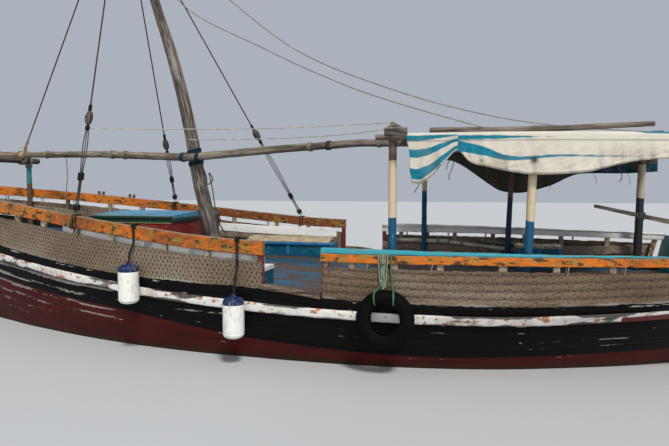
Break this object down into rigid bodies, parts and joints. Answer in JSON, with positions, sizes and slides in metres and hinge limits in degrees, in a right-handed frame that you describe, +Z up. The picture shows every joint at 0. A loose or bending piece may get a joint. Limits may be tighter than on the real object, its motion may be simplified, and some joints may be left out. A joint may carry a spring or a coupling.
{
  "type": "dhow sailing boat",
  "caption": "Wooden dhow afloat, its lateen yard lowered and lashed, with woven side mats, a striped awning aft, a hinged trunk on the foredeck and a hung rudder",
  "frame": {"origin": "on the centreline at the waterline, amidships", "axes": "+X towards the bow, +Y to port, +Z up"},
  "size_m": [12.7432, 4.3813, 7.3772],
  "materials": {
    "hull_paint": "black paint, scraped to pale wood along the plank seams",
    "bottom_paint": "dark maroon bottom paint, scuffed and stained",
    "white_paint": "white paint with rusty runs",
    "teal_paint": "teal paint, worn at the edges",
    "rail_varnish": "orange-brown oil varnish, worn grey on top",
    "deck_plank": "worn blue-grey paint over brown planks",
    "woven_mat": "coarse woven palm leaf, weathered grey-brown",
    "maroon_paint": "faded maroon paint",
    "pale_blue_paint": "faded light blue paint",
    "navy_paint": "dark blue paint, scuffed",
    "cream_paint": "dirty cream paint",
    "weathered_timber": "bare weathered grey-brown timber with checks",
    "dark_timber": "dark oiled timber",
    "canvas": "dirty cream canvas, the awning striped in teal",
    "fender_plastic": "scuffed white plastic with dark blue ends",
    "tyre": "old black rubber with a faded tread",
    "rope": "dark twisted rope"
  },
  "bodies": {
    "boat": {"hull_port": "hull_paint", "hull_starboard": "hull_paint", "wale_port": "white_paint", "wale_starboard": "white_paint", "keel": "bottom_paint", "stem": "hull_paint", "sternpost": "hull_paint", "transom": "teal_paint", "deck_aft": "deck_plank", "deck_midship": "deck_plank", "deck_fore": "deck_plank", "bulwark_fore_port": "rail_varnish", "bulwark_fore_starboard": "rail_varnish", "bulwark_aft_port": "teal_paint", "bulwark_aft_starboard": "teal_paint", "mat_fore_port": "woven_mat", "mat_fore_starboard": "woven_mat", "mat_aft_port": "woven_mat", "mat_aft_starboard": "woven_mat", "trunk_box": "maroon_paint", "bench_port": "navy_paint", "bench_starboard": "navy_paint", "canvas_cover": "canvas", "locker": "navy_paint", "mast": "weathered_timber", "mast_chock": "dark_timber", "yard_fore": "weathered_timber", "yard_middle": "weathered_timber", "yard_aft": "weathered_timber", "crutch_post_port": "teal_paint", "crutch_post_starboard": "teal_paint", "crutch_bar": "dark_timber", "awning_post_fore_port": "cream_paint", "awning_post_fore_starboard": "cream_paint", "awning_post_middle_port": "cream_paint", "awning_post_middle_starboard": "cream_paint", "awning_post_aft_port": "cream_paint", "awning_post_aft_starboard": "cream_paint", "crossbeam_fore": "weathered_timber", "crossbeam_middle": "weathered_timber", "crossbeam_aft": "weathered_timber", "awning_pole_port": "weathered_timber", "awning_pole_starboard": "weathered_timber", "awning_cloth": "canvas", "roof_pole": "weathered_timber", "fender_fore": "fender_plastic", "fender_aft": "fender_plastic", "tyre": "tyre", "forestay": "rope", "shroud_port": "rope", "shroud_starboard_fore": "rope", "shroud_starboard_aft": "rope"},
    "rudder": {"rudder": "bottom_paint", "tiller": "weathered_timber"},
    "trunk_leaf_port": {"trunk_lid_port": "pale_blue_paint"},
    "trunk_leaf_starboard": {"trunk_lid_starboard": "pale_blue_paint"},
    "locker_top": {"locker_lid": "cream_paint"}
  },
  "joints": [
    {"name": "rudder_swing", "type": "hinge", "parent": "boat", "child": "rudder", "pos_m": [-6.0806, 0, 0], "axis": [-0.2149, 0, 0.9766], "range_deg": [-35, 35]},
    {"name": "trunk_lid_port_hinge", "type": "hinge", "parent": "boat", "child": "trunk_leaf_port", "pos_m": [1.1, 0.79, 1.5003], "axis": [-1, 0, 0], "range_deg": [0, 100]},
    {"name": "trunk_lid_starboard_hinge", "type": "hinge", "parent": "boat", "child": "trunk_leaf_starboard", "pos_m": [1.1, -0.79, 1.5003], "axis": [1, 0, 0], "range_deg": [0, 100]},
    {"name": "locker_lid_hinge", "type": "hinge", "parent": "boat", "child": "locker_top", "pos_m": [-4.4, -1.61, 1.0105], "axis": [1, 0, 0], "range_deg": [0, 95]}
  ]
}
